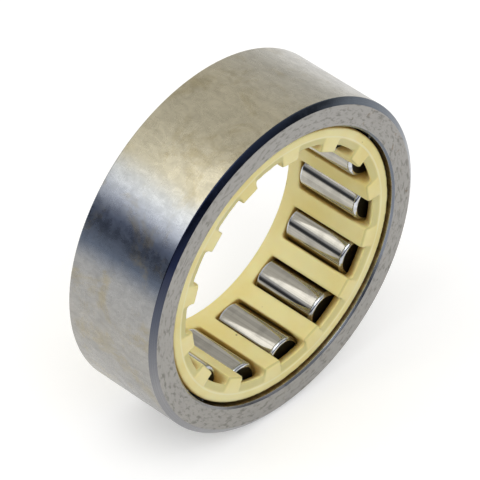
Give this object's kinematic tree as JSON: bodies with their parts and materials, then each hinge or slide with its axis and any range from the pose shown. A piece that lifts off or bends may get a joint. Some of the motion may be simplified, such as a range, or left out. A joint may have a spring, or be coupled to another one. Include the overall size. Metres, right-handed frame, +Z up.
{
  "type": "cylindrical roller bearing",
  "caption": "Roller bearing without inner ring: ground steel outer ring with two ribs, one-piece moulded cage and short steel rollers that run straight on the shaft.",
  "frame": {"origin": "on the bearing's axis, half way between the outer ring's two side faces", "axes": "-Y along the axis, out of the front face, where the cage's bars end in tabs; +Z up, as the bearing stands on its rim"},
  "size_m": [0.072, 0.023, 0.072],
  "materials": {
    "ring_steel": "ground and oiled, satin",
    "roller_steel": "polished",
    "cage_nylon": "natural moulded, matt"
  },
  "bodies": {
    "outer_ring": {"outer_ring": "ring_steel"},
    "cage": {"cage": "cage_nylon"},
    "roller_01": {"roller_01": "roller_steel"},
    "roller_02": {"roller_02": "roller_steel"},
    "roller_03": {"roller_03": "roller_steel"},
    "roller_04": {"roller_04": "roller_steel"},
    "roller_05": {"roller_05": "roller_steel"},
    "roller_06": {"roller_06": "roller_steel"},
    "roller_07": {"roller_07": "roller_steel"},
    "roller_08": {"roller_08": "roller_steel"},
    "roller_09": {"roller_09": "roller_steel"},
    "roller_10": {"roller_10": "roller_steel"},
    "roller_11": {"roller_11": "roller_steel"},
    "roller_12": {"roller_12": "roller_steel"},
    "roller_13": {"roller_13": "roller_steel"},
    "roller_14": {"roller_14": "roller_steel"}
  },
  "joints": [
    {"name": "cage_spin", "type": "hinge", "parent": "outer_ring", "child": "cage", "pos_m": [0, 0, 0], "axis": [0, -1, 0], "continuous": true},
    {"name": "roller_01_spin", "type": "hinge", "parent": "cage", "child": "roller_01", "pos_m": [0.02597, 0, 0.00979], "axis": [0, -1, 0], "continuous": true},
    {"name": "roller_02_spin", "type": "hinge", "parent": "cage", "child": "roller_02", "pos_m": [0.01915, 0, 0.02009], "axis": [0, -1, 0], "continuous": true},
    {"name": "roller_03_spin", "type": "hinge", "parent": "cage", "child": "roller_03", "pos_m": [0.00854, 0, 0.0264], "axis": [0, -1, 0], "continuous": true},
    {"name": "roller_04_spin", "type": "hinge", "parent": "cage", "child": "roller_04", "pos_m": [-0.00377, 0, 0.02749], "axis": [0, -1, 0], "continuous": true},
    {"name": "roller_05_spin", "type": "hinge", "parent": "cage", "child": "roller_05", "pos_m": [-0.01532, 0, 0.02314], "axis": [0, -1, 0], "continuous": true},
    {"name": "roller_06_spin", "type": "hinge", "parent": "cage", "child": "roller_06", "pos_m": [-0.02384, 0, 0.0142], "axis": [0, -1, 0], "continuous": true},
    {"name": "roller_07_spin", "type": "hinge", "parent": "cage", "child": "roller_07", "pos_m": [-0.02764, 0, 0.00245], "axis": [0, -1, 0], "continuous": true},
    {"name": "roller_08_spin", "type": "hinge", "parent": "cage", "child": "roller_08", "pos_m": [-0.02597, 0, -0.00979], "axis": [0, -1, 0], "continuous": true},
    {"name": "roller_09_spin", "type": "hinge", "parent": "cage", "child": "roller_09", "pos_m": [-0.01915, 0, -0.02009], "axis": [0, -1, 0], "continuous": true},
    {"name": "roller_10_spin", "type": "hinge", "parent": "cage", "child": "roller_10", "pos_m": [-0.00854, 0, -0.0264], "axis": [0, -1, 0], "continuous": true},
    {"name": "roller_11_spin", "type": "hinge", "parent": "cage", "child": "roller_11", "pos_m": [0.00377, 0, -0.02749], "axis": [0, -1, 0], "continuous": true},
    {"name": "roller_12_spin", "type": "hinge", "parent": "cage", "child": "roller_12", "pos_m": [0.01532, 0, -0.02314], "axis": [0, -1, 0], "continuous": true},
    {"name": "roller_13_spin", "type": "hinge", "parent": "cage", "child": "roller_13", "pos_m": [0.02384, 0, -0.0142], "axis": [0, -1, 0], "continuous": true},
    {"name": "roller_14_spin", "type": "hinge", "parent": "cage", "child": "roller_14", "pos_m": [0.02764, 0, -0.00245], "axis": [0, -1, 0], "continuous": true}
  ],
  "couplings": [
    {"joint": "roller_01_spin", "follows": "cage_spin", "ratio": -7.5294},
    {"joint": "roller_02_spin", "follows": "cage_spin", "ratio": -7.5294},
    {"joint": "roller_03_spin", "follows": "cage_spin", "ratio": -7.5294},
    {"joint": "roller_04_spin", "follows": "cage_spin", "ratio": -7.5294},
    {"joint": "roller_05_spin", "follows": "cage_spin", "ratio": -7.5294},
    {"joint": "roller_06_spin", "follows": "cage_spin", "ratio": -7.5294},
    {"joint": "roller_07_spin", "follows": "cage_spin", "ratio": -7.5294},
    {"joint": "roller_08_spin", "follows": "cage_spin", "ratio": -7.5294},
    {"joint": "roller_09_spin", "follows": "cage_spin", "ratio": -7.5294},
    {"joint": "roller_10_spin", "follows": "cage_spin", "ratio": -7.5294},
    {"joint": "roller_11_spin", "follows": "cage_spin", "ratio": -7.5294},
    {"joint": "roller_12_spin", "follows": "cage_spin", "ratio": -7.5294},
    {"joint": "roller_13_spin", "follows": "cage_spin", "ratio": -7.5294},
    {"joint": "roller_14_spin", "follows": "cage_spin", "ratio": -7.5294}
  ]
}
